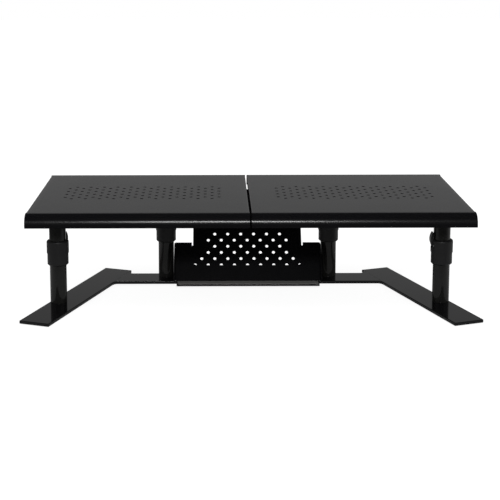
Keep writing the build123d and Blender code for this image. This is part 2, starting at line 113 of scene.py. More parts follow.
def grid_quads(rows, columns, first=0):
    """The quads of a grid of points, row by row: each joins four neighbours."""
    index = first + np.arange(rows * columns).reshape(rows, columns)
    return np.stack([index[:-1, :-1], index[:-1, 1:], index[1:, 1:], index[1:, :-1]], axis=-1)


def surface(name, grids, material):
    """One mesh object from grids of points (rows x columns x 3), each with a mask of the quads
    to keep, or None for all of them."""
    faces, first = [], 0
    for grid, kept in grids:
        quads = grid_quads(*grid.shape[:2], first)
        faces.append(quads.reshape(-1, 4) if kept is None else quads[kept])
        first += grid.shape[0] * grid.shape[1]
    points = np.concatenate([grid.reshape(-1, 3) for grid, kept in grids])
    return set_faces(name, points, np.concatenate(faces), material)


def closed(rings):
    """Rings of points, each joined to its own start, with a fan to the middle of both ends."""
    rings = np.asarray(rings)
    ends = [np.tile(ring.mean(axis=0), (rings.shape[1], 1)) for ring in (rings[0], rings[-1])]
    rings = np.concatenate([ends[:1], rings, ends[1:]])
    return np.concatenate([rings, rings[:, :1]], axis=1)


def rounded(length, width, corner, steps=6):
    """Corner centres and outward directions round a rectangle: four quarter turns in a row."""
    turns = np.linspace(0, pi / 2, steps + 1)
    angle = np.concatenate([turns + quarter * pi / 2 for quarter in range(4)])
    signs = np.repeat([[1, 1], [-1, 1], [-1, -1], [1, -1]], steps + 1, axis=0)
    centre = signs * [length / 2 - corner, width / 2 - corner]
    return centre, np.stack([np.cos(angle), np.sin(angle)], axis=1)


def eased(low, high, ease, steps=3):
    """Levels (inset, height) of a plate's side, with a quarter round at its bottom and top. One
    more level on each flat face, half an ease further in, keeps the shading of the rounds."""
    turns = np.linspace(0, pi / 2, steps + 1)
    bottom = [(ease * (1 - sin(t)), low + ease * (1 - cos(t))) for t in turns]
    top = [(ease * (1 - cos(t)), high - ease * (1 - sin(t))) for t in turns]
    return [(1.5 * ease, low)] + bottom + top + [(1.5 * ease, high)]


def plate(name, outline, corner, levels, material, place=(0, 0), heading=0.0):
    """A solid plate: at each level (inset, height) its outline is the corner centres plus the
    corner radius less the inset, times the outward directions, turned and put in its place."""
    turned = np.array([[cos(heading), sin(heading)], [-sin(heading), cos(heading)]])
    centre, outward = outline
    rings = []
    for inset, height in levels:
        flat = (centre + (corner - inset) * outward) @ turned + place
        rings.append(np.column_stack([flat, np.full(len(flat), height)]))
    return surface(name, [(closed(rings), None)], material)


# Gloss powder coat: black resin melted smooth over steel. It gives the eye a deep black with
# clear, slightly soft reflections and a faint long-wave ripple.
ripple_width = 11.1
gloss_coat, tree, place, shader = new_material("gloss_powder_coat")
ripple = add_node(
    tree, "ShaderNodeTexNoise", {"Scale": waves(ripple_width), "Detail": 2.0}, {"Vector": place}
)
bump = add_node(
    tree, "ShaderNodeBump", {"Strength": 0.06, "Distance": 0.3 * mm},
    {"Height": ripple.outputs["Fac"]},
)
haze = add_node(
    tree, "ShaderNodeMapRange", {"To Min": 0.04, "To Max": 0.06},
    {"Value": ripple.outputs["Fac"]},
)
tree.links.new(bump.outputs["Normal"], shader.inputs["Normal"])
tree.links.new(haze.outputs["Result"], shader.inputs["Roughness"])
shader.inputs["Base Color"].default_value = linear("#0b0b0d")
shader.inputs["IOR"].default_value = 1.46

pad_height = 1.5
bar_top = 6.5
foot_width = 51.0
foot_length = 320.731
foot_corner = 1.0
foot_ease = 0.7
foot_turn = radians(70.4)
foot_centre = np.array([284.46, -34.15])
sides = {"left": -1, "right": 1}
for side, sign in sides.items():
    foot = plate(
        f"{side}_foot", rounded(foot_length, foot_width, foot_corner), foot_corner,
        eased(pad_height, bar_top, foot_ease), gloss_coat,
        foot_centre * [sign, 1], -sign * foot_turn,
    )
    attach(foot, "base")
    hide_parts(f"{side}_foot_bar")

# Centre bar: the same flat bar, welded between the feet. The welds at its four corners are
# ground to a smooth hollow and coated over.
bar_front = 38.2
bar_rear = 88.2
bar_ease = 0.5
weld_radius = 9.0
inner_line = foot_centre - foot_width / 2 * np.array([sin(foot_turn), cos(foot_turn)])
along_foot = np.array([cos(foot_turn), -sin(foot_turn)])


def ground_corner(edge_y, way, steps=8):
    """The arc of a ground weld: it touches the bar's edge and the foot's inner edge."""
    corner = inner_line + along_foot * (inner_line[1] - edge_y) / sin(foot_turn)
    bisector = np.array([-1.0, 0.0]) + way
    bisector /= np.linalg.norm(bisector)
    half_angle = np.arccos(np.clip(-way[0], -1, 1)) / 2
    middle = corner + bisector * weld_radius / sin(half_angle)
    reach = weld_radius / tan(half_angle)
    start = (corner + [-reach, 0] - middle) / weld_radius
    finish = (corner + reach * way - middle) / weld_radius
    share = np.linspace(0, 1, steps + 1)[:, None]
    swing = np.arccos(np.clip(start @ finish, -1, 1))
    return middle + weld_radius * (
        np.sin((1 - share) * swing) * start + np.sin(share * swing) * finish
    ) / sin(swing)


def bar_edge(edge_y, way, steps=13):
    """One long edge of the centre bar from right to left: arc, straight and mirrored arc."""
    arc = ground_corner(edge_y, way)[::-1]
    straight = np.linspace(arc[-1], arc[-1] * [-1, 1], steps + 1)[1:-1]
    return np.concatenate([arc, straight, (arc * [-1, 1])[::-1]])


front_edge = bar_edge(bar_front, along_foot)
rear_edge = bar_edge(bar_rear, -along_foot)
across = rear_edge - front_edge
across /= np.linalg.norm(across, axis=1)[:, None]
edge_levels = eased(pad_height, bar_top, bar_ease)
bar_section = [(front_edge, across, inset, z) for inset, z in edge_levels]
bar_section += [(rear_edge, -across, inset, z) for inset, z in edge_levels[::-1]]
bar_points = np.stack(
    [np.column_stack([edge + inset * inward, np.full(len(edge), z)])
     for edge, inward, inset, z in bar_section], axis=1,
)
bar = surface("welded_centre_bar", [(closed(bar_points), None)], gloss_coat)
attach(bar, "base")
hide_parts("centre_bar")

# Rubber pads: soft strips stuck under the bars, so that steel doesn't touch the desk.
# Matt rubber gives a dull dark grey. Its moulded grain is finer than a render shows, so it is
# drawn about 1 mm wide.
pad_grain = 1.11
pad_rubber, tree, place, shader = new_material("moulded_rubber")
grain = add_node(
    tree, "ShaderNodeTexNoise", {"Scale": waves(pad_grain), "Detail": 3.0}, {"Vector": place}
)
bump = add_node(
    tree, "ShaderNodeBump", {"Strength": 0.35, "Distance": 0.2 * mm},
    {"Height": grain.outputs["Fac"]},
)
tree.links.new(bump.outputs["Normal"], shader.inputs["Normal"])
shader.inputs["Base Color"].default_value = linear("#2a2a2b")
shader.inputs["Roughness"].default_value = 0.85
for name in ("left_foot_pads", "right_foot_pads", "centre_pads"):
    nodes[name].material_slots[0].material = pad_rubber

# Leg tubes: cut steel tube, standing on the bars over a plug with a screw up into it. Their
# powder coat is semi-gloss: it mirrors the bars and the floor as soft upright streaks.


def powder_coat(name, colour, strength, smooth, rough):
    """A black powder coat: fine grain in its bump, and cloudy patches from smooth to rough. The
    grain is drawn wider than the real one, which a render wouldn't show."""
    grain_width = 1.43
    patch_width = 71.4
    coat, tree, place, shader = new_material(name)
    pebble = add_node(
        tree, "ShaderNodeTexNoise", {"Scale": waves(grain_width), "Detail": 2.0},
        {"Vector": place},
    )
    cloud = add_node(
        tree, "ShaderNodeTexNoise", {"Scale": waves(patch_width), "Detail": 3.0},
        {"Vector": place},
    )
    bump = add_node(
        tree, "ShaderNodeBump", {"Strength": strength, "Distance": 0.12 * mm},
        {"Height": pebble.outputs["Fac"]},
    )
    haze = add_node(
        tree, "ShaderNodeMapRange", {"To Min": smooth, "To Max": rough},
        {"Value": cloud.outputs["Fac"]},
    )
    tree.links.new(bump.outputs["Normal"], shader.inputs["Normal"])
    tree.links.new(haze.outputs["Result"], shader.inputs["Roughness"])
    shader.inputs["Base Color"].default_value = linear(colour)
    shader.inputs["IOR"].default_value = 1.45
    return coat


tube_coat = powder_coat("semi_gloss_powder_coat", "#1a1a19", 0.05, 0.08, 0.13)

tube_radius = 13.6
tube_bore = 12.1
tube_top = 96.0
leg_places = {}
for leg in ("left_front", "left_rear", "right_front", "right_rear"):
    low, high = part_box(f"{leg}_lower_tube")
    leg_places[leg] = ((low.x + high.x) / 2 / mm, (low.y + high.y) / 2 / mm)


def turned(name, profile, place, material, segments=96, ripple=None):
    """A turned piece: a closed profile of (radius, height) carried round its upright axis.
    ripple, if given, adds to the radius by profile point and angle."""
    angle = np.linspace(0, 2 * pi, segments + 1)
    loop = np.array([*profile, profile[0]], dtype=float)
    radius = loop[:, :1] + (0 if ripple is None else ripple(loop, angle))
    x = place[0] + radius * np.cos(angle)
    y = place[1] + radius * np.sin(angle)
    z = np.repeat(loop[:, 1:], segments + 1, axis=1)
    return surface(name, [(np.stack([x, y, z], axis=-1), None)], material)


def tube_profile(outer, bore, low, high, ease=0.35, steps=3):
    """A tube's wall from its outer foot round to its bore, with small rounds at both ends. A
    point close to each round keeps the wall's shading straight between them."""
    t = np.linspace(0, pi / 2, steps + 1)
    beside = 2.5 * ease
    return [
        *zip(outer - ease * (1 - np.sin(t)), low + ease * (1 - np.cos(t))),
        (outer, low + beside), (outer, high - beside),
        *zip(outer - ease * (1 - np.cos(t)), high - ease * (1 - np.sin(t))),
        *zip(bore + ease * (1 - np.sin(t)), high - ease * (1 - np.cos(t))),
        (bore, high - beside), (bore, low + beside),
        *zip(bore + ease * (1 - np.cos(t)), low + ease * (1 - np.sin(t))),
    ]


for leg, spot in leg_places.items():
    tube = turned(
        f"{leg}_tube", tube_profile(tube_radius, tube_bore, bar_top, tube_top), spot,
        tube_coat,
    )
    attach(tube, "base")
    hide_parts(f"{leg}_lower_tube")

# Plugs, screws, studs, nuts and pins: turned and cold-headed steel with a thin zinc plating.
# It gives the eye a cool silver with soft reflections and a faint cloudiness.
cloud_width = 2.86
zinc, tree, place, shader = new_material("zinc_plated_steel")
cloud = add_node(
    tree, "ShaderNodeTexNoise", {"Scale": waves(cloud_width), "Detail": 3.0}, {"Vector": place}
)
tone = add_node(tree, "ShaderNodeValToRGB", links={"Fac": cloud.outputs["Fac"]})
tone.color_ramp.elements[0].color = linear("#a9abae")
tone.color_ramp.elements[1].color = linear("#c9cbcc")
tree.links.new(tone.outputs["Color"], shader.inputs["Base Color"])
shader.inputs["Metallic"].default_value = 1.0
shader.inputs["Roughness"].default_value = 0.38
for name in ("leg_base_screws", "stay_screws", "stay_nuts"):
    nodes[name].material_slots[0].material = zinc
for side in sides:
    nodes[f"{side}_platform_studs"].material_slots[0].material = zinc
    nodes[f"{side}_platform_nuts"].material_slots[0].material = zinc
for leg in leg_places:
    nodes[f"{leg}_tube_plug"].material_slots[0].material = zinc
    nodes[f"{leg}_lever_pin"].material_slots[0].material = zinc

# Grub screws: headless screws with a hexagon socket, one in the side of each collar, that hold
# the collars on the tubes. They are hardened steel, left black from the heat treatment, with an
# oily sheen.
mottle_width = 0.667
black_oxide, tree, place, shader = new_material("black_oxide_steel")
mottle = add_node(
    tree, "ShaderNodeTexNoise", {"Scale": waves(mottle_width), "Detail": 2.0},
    {"Vector": place},
)
haze = add_node(
    tree, "ShaderNodeMapRange", {"To Min": 0.3, "To Max": 0.5},
    {"Value": mottle.outputs["Fac"]},
)
tree.links.new(haze.outputs["Result"], shader.inputs["Roughness"])
shader.inputs["Base Color"].default_value = linear("#2c2c30")
shader.inputs["Metallic"].default_value = 1.0
nodes["collar_grub_screws"].material_slots[0].material = black_oxide

# Guide bush and post glide: turned rings of natural acetal, one in the mouth of the lower tube
# and one at the end of the post. A waxy, slightly see-through white.
wax_width = 5.0
acetal, tree, place, shader = new_material("natural_acetal")
cloud = add_node(
    tree, "ShaderNodeTexNoise", {"Scale": waves(wax_width), "Detail": 2.0}, {"Vector": place}
)
haze = add_node(
    tree, "ShaderNodeMapRange", {"To Min": 0.38, "To Max": 0.5},
    {"Value": cloud.outputs["Fac"]},
)
tree.links.new(haze.outputs["Result"], shader.inputs["Roughness"])
shader.inputs["Base Color"].default_value = linear("#e6e3da")
shader.inputs["Subsurface Weight"].default_value = 0.15
shader.inputs["Subsurface Scale"].default_value = 2 * mm
for leg in leg_places:
    nodes[f"{leg}_guide_bush"].material_slots[0].material = acetal
    nodes[f"{leg}_post_glide"].material_slots[0].material = acetal

# Inner posts: drawn steel tube, bright nickel plated, that slides in the bush. It shows when a
# platform is raised. Draw lines run along it, wider apart than the real ones, so that they show.
line_width = 0.556
line_length = 83.3
bright_plate, tree, place, shader = new_material("bright_nickel_plate")
stretch = add_node(
    tree, "ShaderNodeMapping",
    {"Scale": (waves(line_width), waves(line_width), waves(line_length))}, {"Vector": place},
)
lines = add_node(
    tree, "ShaderNodeTexNoise", {"Scale": 1.0, "Detail": 2.0},
    {"Vector": stretch.outputs["Vector"]},
)
haze = add_node(
    tree, "ShaderNodeMapRange", {"To Min": 0.1, "To Max": 0.22},
    {"Value": lines.outputs["Fac"]},
)
tree.links.new(haze.outputs["Result"], shader.inputs["Roughness"])
shader.inputs["Base Color"].default_value = linear("#d8d7d3")
shader.inputs["Metallic"].default_value = 1.0
post_bottom = 32.0
post_radius = 10.5
post_bore = 9.0
mount_bottom = 162.1
for leg, spot in leg_places.items():
    post = turned(
        f"{leg}_plated_post", tube_profile(post_radius, post_bore, post_bottom, mount_bottom),
        spot, bright_plate,
    )
    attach(post, f"{leg.split('_')[0]}_platform")
    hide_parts(f"{leg}_inner_post")

# Upper sleeves: the same tube as below, welded to the mounting plate with a small ring of weld
# whose ripples still show under the coat.
collar_top = 110.7
weld_height = 2.4
weld_reach = 1.8
weld_ripples = 44
ripple_height = 0.12
sleeve_segments = 144
below_weld = 0.6
under_weld = (tube_radius, mount_bottom - weld_height - below_weld)


def sleeve_ripple(loop, angle):
    """Ripples of the weld: a fine wave round the ring, only on its rounded part."""
    on_weld = (loop[:, 1] > mount_bottom - weld_height) & (loop[:, 0] > tube_radius)
    return on_weld[:, None] * ripple_height * np.cos(weld_ripples * angle)


# The weld takes the place of the round at the wall's outer top: the wall's first five points
# are its outer foot, and its bore starts at the eleventh
wall = tube_profile(tube_radius, tube_bore, collar_top, mount_bottom)
outer_foot, bore_side = wall[:5], wall[10:]
rise = np.linspace(0, pi / 2, 6)
bead = [*zip(
    tube_radius + weld_reach * (1 - np.cos(rise)),
    mount_bottom - weld_height * (1 - np.sin(rise)),
)]
for leg, spot in leg_places.items():
    sleeve = turned(
        f"{leg}_sleeve", [*outer_foot, under_weld, *bead, *bore_side], spot, tube_coat,
        sleeve_segments, sleeve_ripple,
    )
    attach(sleeve, f"{leg.split('_')[0]}_platform")
    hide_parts(f"{leg}_upper_sleeve")

# Collars and cam levers: two-tier rings moulded in black ABS, pushed on the lower tubes and held
# by a grub screw, with a lever on a pin. Spark-eroded moulds leave an even, frosted skin with a
# soft shine, drawn coarser than it is so that it shows.
frost_width = 0.714
shine_width = 16.7
collar_abs, tree, place, shader = new_material("moulded_black_abs")
frost = add_node(
    tree, "ShaderNodeTexVoronoi", {"Scale": waves(frost_width)}, {"Vector": place}
)
bump = add_node(
    tree, "ShaderNodeBump", {"Strength": 0.12, "Distance": 0.1 * mm},
    {"Height": frost.outputs["Distance"]},
)
cloud = add_node(
    tree, "ShaderNodeTexNoise", {"Scale": waves(shine_width), "Detail": 2.0}, {"Vector": place}
)
haze = add_node(
    tree, "ShaderNodeMapRange", {"To Min": 0.42, "To Max": 0.5},
    {"Value": cloud.outputs["Fac"]},
)
tree.links.new(bump.outputs["Normal"], shader.inputs["Normal"])
tree.links.new(haze.outputs["Result"], shader.inputs["Roughness"])
shader.inputs["Base Color"].default_value = linear("#181819")
shader.inputs["IOR"].default_value = 1.46
for leg in leg_places:
    nodes[f"{leg}_collar"].material_slots[0].material = collar_abs
    nodes[f"{leg}_cam_lever"].material_slots[0].material = collar_abs

# Mounting plates: 3 mm steel with rounded corners, on four weld studs under each platform.
# They have the platforms' satin powder coat, black resin with a smoother, denser skin.
satin_coat = powder_coat("satin_powder_coat", "#0b0b0d", 0.1, 0.2, 0.24)
for leg in leg_places:
    nodes[f"{leg}_mounting_plate"].material_slots[0].material = satin_coat

# Platforms: 1.5 mm steel sheet, punched, rolled down at the front and rear and bent down along
# the sides between the rolls, then coated. Every second row of holes is set off by half a pitch.
platform_length = 354.5
platform_depth = 339.0
platform_top = 166.6
platform_gap = 3.0
platform_y = 24.0
sheet = 1.5
roll = 16.5
skirt_bottom = 145.6
skirt_corner = 1.0
side_bend = 2.2
flange_depth = 12.0
flange_half = 148.0
platform_pitch = 23.47
platform_hole = 2.875
hole_rows = 9
holes_across = 12
steps_a_pitch = 8
steps_a_row = steps_a_pitch // 2


def hole_ring(pitch, radius):
    """A punched cell, pitch wide and half as high: its outline in eighths of the pitch and the
    hole's circle, both in 24 steps from the right-hand side round to it again."""
    side = [(4, 0), (4, 1)]
    top = [(k, 2) for k in range(4, -4, -1)]
    left = [(-4, k) for k in (2, 1, 0, -1)]
    bottom = [(k, -2) for k in range(-4, 4)]
    edge = np.array(side + top + left + bottom + [(4, -2), (4, -1), (4, 0)]) * pitch / 8
    angle = np.linspace(0, 2 * pi, len(edge))
    circle = radius * np.column_stack([np.cos(angle), np.sin(angle)])
    return np.stack([edge, circle])


def finish_sheet(piece, thickness, rim=0.25):
    """Gives a sheet its thickness behind its face and takes the sharpness off its rims."""
    wall = piece.modifiers.new("thickness", "SOLIDIFY")
    wall.thickness = thickness * mm
    wall.offset = -1.0
    wall.use_even_offset = True
    rims = piece.modifiers.new("rims", "BEVEL")
    rims.width = rim * mm
    rims.segments = 2
    rims.limit_method = "ANGLE"
    rims.angle_limit = radians(40)
    rims.harden_normals = True


def lay(x, y, z):
    """A grid of points from three arrays that spread over each other."""
    return np.stack(np.broadcast_arrays(x, y, z), axis=-1)


# The punched field is a grid of an eighth of a pitch, and the rest of the sheet goes on from it
platform_step = platform_pitch / steps_a_pitch
field_rows = hole_rows * steps_a_row
field_columns = holes_across * steps_a_pitch
field_y = np.arange(-field_rows // 2, field_rows // 2 + 1) * platform_step
field_x = np.arange(-field_columns // 2, field_columns // 2 + 1) * platform_step
half = platform_length / 2
edge_x = half - side_bend
front_y = -platform_depth / 2

# From front to rear as (y, height, half width): skirt, roll and top, and the same mirrored
skirt = [
    (front_y, skirt_bottom + skirt_corner * (1 - cos(t)), half - skirt_corner * (1 - sin(t)))
    for t in np.linspace(0, pi / 2, 6)
]
rolled = [
    (front_y + roll * (1 - cos(t)), platform_top - roll * (1 - sin(t)), half)
    for t in np.linspace(0, pi / 2, 13)
]
top_y = [*np.linspace(-flange_half, field_y[0], 9), *field_y[1:field_rows // 2 + 1]]
profile = np.array(skirt + rolled + [(y, platform_top, half) for y in top_y])
profile = np.concatenate([profile, profile[:-1][::-1] * [-1, 1, 1]])
plain_columns = 4
columns_x = np.concatenate([
    np.linspace(-edge_x, field_x[0], plain_columns + 1)[:-1], field_x,
    np.linspace(field_x[-1], edge_x, plain_columns + 1)[1:],
])
first_row = int(np.argmin(np.abs(profile[:, 0] - field_y[0]) + (profile[:, 1] < platform_top)))
row_of = np.arange(len(profile) - 1)[:, None] - first_row
column_of = np.arange(len(columns_x) - 1)[None, :] - plain_columns
in_field = (row_of >= 0) & (row_of < field_rows)
in_field = in_field & (column_of >= 0) & (column_of < field_columns)

# Rows with one hole less stay flat for half a pitch at both ends
short_row = row_of // steps_a_row % 2 == 0
row_end = (column_of < steps_a_row) | (column_of >= field_columns - steps_a_row)
keep_flat = ~in_field | (short_row & row_end)
cell_centres = []
for k in range(hole_rows):
    count = holes_across - 1 if k % 2 == 0 else holes_across
    row_y = (k - hole_rows // 2) * platform_pitch / 2
    cell_centres += [(x * platform_pitch, row_y) for x in np.arange(count) - (count - 1) / 2]
platform_cell = hole_ring(platform_pitch, platform_hole)

# The side flanges run between the rolls: a bend from the top, then straight down
close = 0.01
in_flange = np.abs(profile[:, 0]) <= flange_half + close
flange_rows = np.flatnonzero(in_flange & (profile[:, 1] >= platform_top - close))
bend_arc = np.linspace(0, pi / 2, 6)
flange_x = np.concatenate([edge_x + side_bend * np.sin(bend_arc), [half, half]])
flange_z = np.concatenate([
    platform_top - side_bend * (1 - np.cos(bend_arc)),
    [platform_top - flange_depth / 2, platform_top - flange_depth],
])
for side, sign in sides.items():
    middle = sign * (platform_length + platform_gap) / 2
    y = platform_y + profile[:, :1]
    z = profile[:, 1:2]
    narrowing = profile[:, 2:] / half
    grids = [(lay(middle + columns_x * narrowing, y, z), keep_flat)]
    for way in (-1, 1):
        border = np.sort(np.array([edge_x, half]) * way)
        plain = np.ones((len(profile) - 1, 1), dtype=bool)
        plain[flange_rows[0]:flange_rows[-1]] = False
        grids.append((lay(middle + border * narrowing, y, z), plain))
        flange = lay(middle + way * flange_x, y[flange_rows], flange_z)
        grids.append((flange[:, ::way], None))
    for centre in cell_centres:
        flat = platform_cell + centre
        grids.append((lay(middle + flat[..., 0], platform_y + flat[..., 1], platform_top), None))
    platform = surface(f"{side}_perforated_platform", grids, satin_coat)
    finish_sheet(platform, sheet)
    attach(platform, f"{side}_platform")
    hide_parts(f"{side}_platform")

# Holder: one punched steel sheet between the rear legs, bent to a front lip, a shelf and a
# backrest that leans back, with side walls folded forward from its wings. The shelf is narrower
# than the walls are apart, so that the folds don't meet.
holder_half = 127.8
shelf_half = 122.9
lean = radians(35)
shelf_front = 13.2
bend_y = 33.0
shelf_top = 8.0
lip_bottom = 4.6
wall_bottom = 9.0
wall_depth = 18.0
wall_corner = 2.0
wing_top = 66.4
backrest_top = 149.5
backrest_half = 95.25
notch_outer = 97.45
notch_bottom = 65.5
backrest_corner = 6.0
holder_bend = 1.5
holder_pitch = 22.85
holder_hole = 2.65
first_hole_row = 29.9
hole_counts = (9, 8, 7, 6, 7, 6)
wall_inside = holder_half - sheet
wing_edge = wall_inside - holder_bend
holder_step = holder_pitch / steps_a_pitch
wing_slope = (wing_top - shelf_top) / cos(lean)
backrest_slope = (backrest_top - shelf_top) / cos(lean)
relief = (wall_bottom - shelf_top) / cos(lean)

# The sheet's face from the lip's foot up: a strip along y and z, then rows up the slope
touch = holder_bend * tan((pi / 2 - lean) / 2)
nose = np.linspace(0, pi / 2, 5)
knee = np.linspace(0, pi / 2 - lean, 5)
strip = [(shelf_front, lip_bottom)]
strip += [*zip(
    shelf_front + holder_bend * (1 - np.cos(nose)), shelf_top - holder_bend * (1 - np.sin(nose))
)]
strip += [(y, shelf_top) for y in np.linspace(strip[-1][0], bend_y - touch, 6)[1:-1]]
strip += [*zip(
    bend_y - touch + holder_bend * np.sin(knee), shelf_top + holder_bend * (1 - np.cos(knee))
)]
strip = np.array(strip)
start = len(strip)
field_start = first_hole_row - steps_a_row // 2 * holder_step
slope = [*np.linspace(relief, field_start, 6)[:-1]]
field = start + len(slope)
slope += [field_start + k * holder_step for k in range(steps_a_row * len(hole_counts) + 1)]
corner_rows = backrest_slope - backrest_corner * (1 - np.sin(np.linspace(0, pi / 2, 7)))
slope = np.concatenate([slope, np.linspace(slope[-1], corner_rows[0], 10)[1:-1], corner_rows])
field_half = hole_counts[0] * steps_a_row
x = np.arange(-field_half, field_half + 1) * holder_step
outer = np.array([*np.linspace(x[-1], shelf_half, 6)[1:], wing_edge])
x = np.concatenate([-outer[::-1], x, outer])
number = np.arange(len(x)) - len(x) // 2
along = np.concatenate([np.zeros(start), slope])[:, None] + 0 * x
spread = x + 0 * along
row = np.arange(len(along))[:, None] - field

# The columns beside the notches move onto the notches' sides, and the rows onto their ends. The
# columns are numbered from the middle, and they move over two rows
side_column = 33
outer_column = side_column + 2
last_straight_row, shift_rows = 4, 2
notch_row, wing_row = 14, 17
shift = np.clip((row - last_straight_row) / shift_rows, 0, 1)
notch_columns = {
    side_column: backrest_half,
    side_column + 1: (backrest_half + notch_outer) / 2,
    outer_column: notch_outer,
}
for index, target in notch_columns.items():
    spread += (np.abs(number) == index) * shift * np.sign(x) * (target - index * holder_step)
for index in range(notch_row, wing_row + 1):
    share = (index - notch_row) / (wing_row - notch_row)
    target = notch_bottom + share * (wing_slope - notch_bottom)
    along += (row == index) * (np.abs(number) >= side_column) * (target - along)


def drawn_in(over_a, over_b):
    """How much two overhangs past a corner's centre shrink, so that a square corner is round:
    the larger one over their length, or 1 where either is nought."""
    factor = np.maximum(over_a, over_b) / np.maximum(np.hypot(over_a, over_b), 1e-9)
    return np.where((over_a > 0) & (over_b > 0), factor, 1.0)


over_x = np.clip(np.abs(spread) - (backrest_half - backrest_corner), 0, backrest_corner)
over_x *= np.abs(number) <= side_column
over_s = np.clip(along - (backrest_slope - backrest_corner), 0, backrest_corner)
pull = drawn_in(over_x, over_s)
spread += np.sign(x) * over_x * (pull - 1)
along += over_s * (pull - 1)
depth = bend_y + along * sin(lean)
height = shelf_top + along * cos(lean)
depth[:start] = strip[:, :1]
height[:start] = strip[:, 1:]

# The sheet's faces, less the notches, the blank above the wings, the shelf's ends and the cells
gap_row = row[:-1]
gap_number = np.abs((number[1:] + number[:-1]) / 2)[None, :]
beside = gap_number > side_column
in_notch = (gap_row >= notch_row) & (gap_row < wing_row) & beside & (gap_number < outer_column)
above_wing = (gap_row >= wing_row) & beside
shelf_end = (np.arange(len(along) - 1)[:, None] < start) & (gap_number > number[-1] - 1)
keep = ~(in_notch | above_wing | shelf_end)
for k, count in enumerate(hole_counts):
    band = (gap_row >= steps_a_row * k) & (gap_row < steps_a_row * (k + 1))
    keep &= ~(band & (gap_number < steps_a_row * count))
grids = [(lay(spread, depth, height), keep)]
holder_cell = hole_ring(holder_pitch, holder_hole)
for k, count in enumerate(hole_counts):
    for hole_x in (np.arange(count) - (count - 1) / 2) * holder_pitch:
        flat = holder_cell + (hole_x, first_hole_row + k * holder_pitch / 2)
        up = flat[..., 1]
        grids.append((
            lay(flat[..., 0], bend_y + up * sin(lean), shelf_top + up * cos(lean)), None
        ))

# Each wing turns forward into its side wall, which is as deep all the way up. The wall has extra
# rows and columns close to its rounded front corners
corner_shares = np.array([0.15, 0.4, 0.7, 1.0])
wall_shares = np.array([0, 0.25, 0.5, 0.75, 0.87, 0.91, 0.94, 0.97, 0.99, 1])
wing_rows = np.arange(start, field + wing_row + 1)
fold = np.linspace(0, pi / 2, 5)
for way in (-1, 1):
    edge = 0 if way < 0 else -1
    y_wing = depth[wing_rows, edge][:, None]
    z_wing = height[wing_rows, edge][:, None]
    folded = lay(
        way * (wing_edge + holder_bend * np.sin(fold)),
        y_wing - holder_bend * (1 - np.cos(fold)) / cos(lean), z_wing,
    )
    grids.append((folded[:, ::way], None))
    y_root = folded[:, -1, 1:2]
    z_root = np.sort(np.concatenate([
        z_wing[:, 0], wall_bottom + wall_corner * corner_shares,
        wing_top - wall_corner * corner_shares,
    ]))[:, None]
    y_root = np.interp(z_root, z_wing[:, 0], y_root[:, 0])
    y_front = bend_y + (z_root - shelf_top) * tan(lean) - wall_depth
    y_wall = y_root + (y_front - y_root) * wall_shares
    z_wall = z_root + 0 * y_wall
    over_y = np.clip(y_front + wall_corner - y_wall, 0, wall_corner)
    over_top = np.clip(z_wall - (wing_top - wall_corner), 0, wall_corner)
    over_foot = np.clip(wall_bottom + wall_corner - z_wall, 0, wall_corner)
    pull = drawn_in(over_y, over_top + over_foot)
    y_wall -= over_y * (pull - 1)
    z_wall += (over_top - over_foot) * (pull - 1)
    grids.append((lay(way * wall_inside, y_wall, z_wall)[:, ::way], None))
holder = surface("punched_holder", grids, satin_coat)
finish_sheet(holder, sheet)
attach(holder, "base")
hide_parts("holder_plate")

# Shelf mat: a thin strip on the shelf. Its pale grey is painted light: it stands in for the light
# the shelf catches, where the black coated steel would only mirror the dark backrest. Its surface
# is dull, with a fine cloth-like grain.
weave_width = 0.909
shelf_painted_light, tree, place, shader = new_material("shelf_strip_painted_light")
weave = add_node(
    tree, "ShaderNodeTexNoise", {"Scale": waves(weave_width), "Detail": 2.0}, {"Vector": place}
)
# The strip's two greys are painted light, mottled by the grain between them.
tone = add_node(tree, "ShaderNodeValToRGB", links={"Fac": weave.outputs["Fac"]})
tone.color_ramp.elements[0].position = 0.3
tone.color_ramp.elements[0].color = linear("#747472")
tone.color_ramp.elements[1].position = 0.7
tone.color_ramp.elements[1].color = linear("#848481")
bump = add_node(
    tree, "ShaderNodeBump", {"Strength": 0.4, "Distance": 0.2 * mm},
    {"Height": weave.outputs["Fac"]},
)
tree.links.new(tone.outputs["Color"], shader.inputs["Base Color"])
tree.links.new(bump.outputs["Normal"], shader.inputs["Normal"])
shader.inputs["Roughness"].default_value = 0.8
mat_thickness = 0.8
mat_margin = 1.5
mat_ease = 0.2
mat_front = shelf_front + holder_bend
mat_back = bend_y - holder_bend
mat = plate(
    "shelf_mat_painted_light",
    rounded(2 * (shelf_half - mat_margin), mat_back - mat_front, mat_margin), mat_margin,
    eased(shelf_top, shelf_top + mat_thickness, mat_ease), shelf_painted_light,
    np.array([0.0, (mat_front + mat_back) / 2]),
)
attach(mat, "base")
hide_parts("shelf_mat")

# Stay: a steel angle behind the holder, with the same satin coat. Two screws hold its flange on
# the centre bar, and its ears end on the backs of the holder's wings.
nodes["holder_stay"].material_slots[0].material = satin_coat

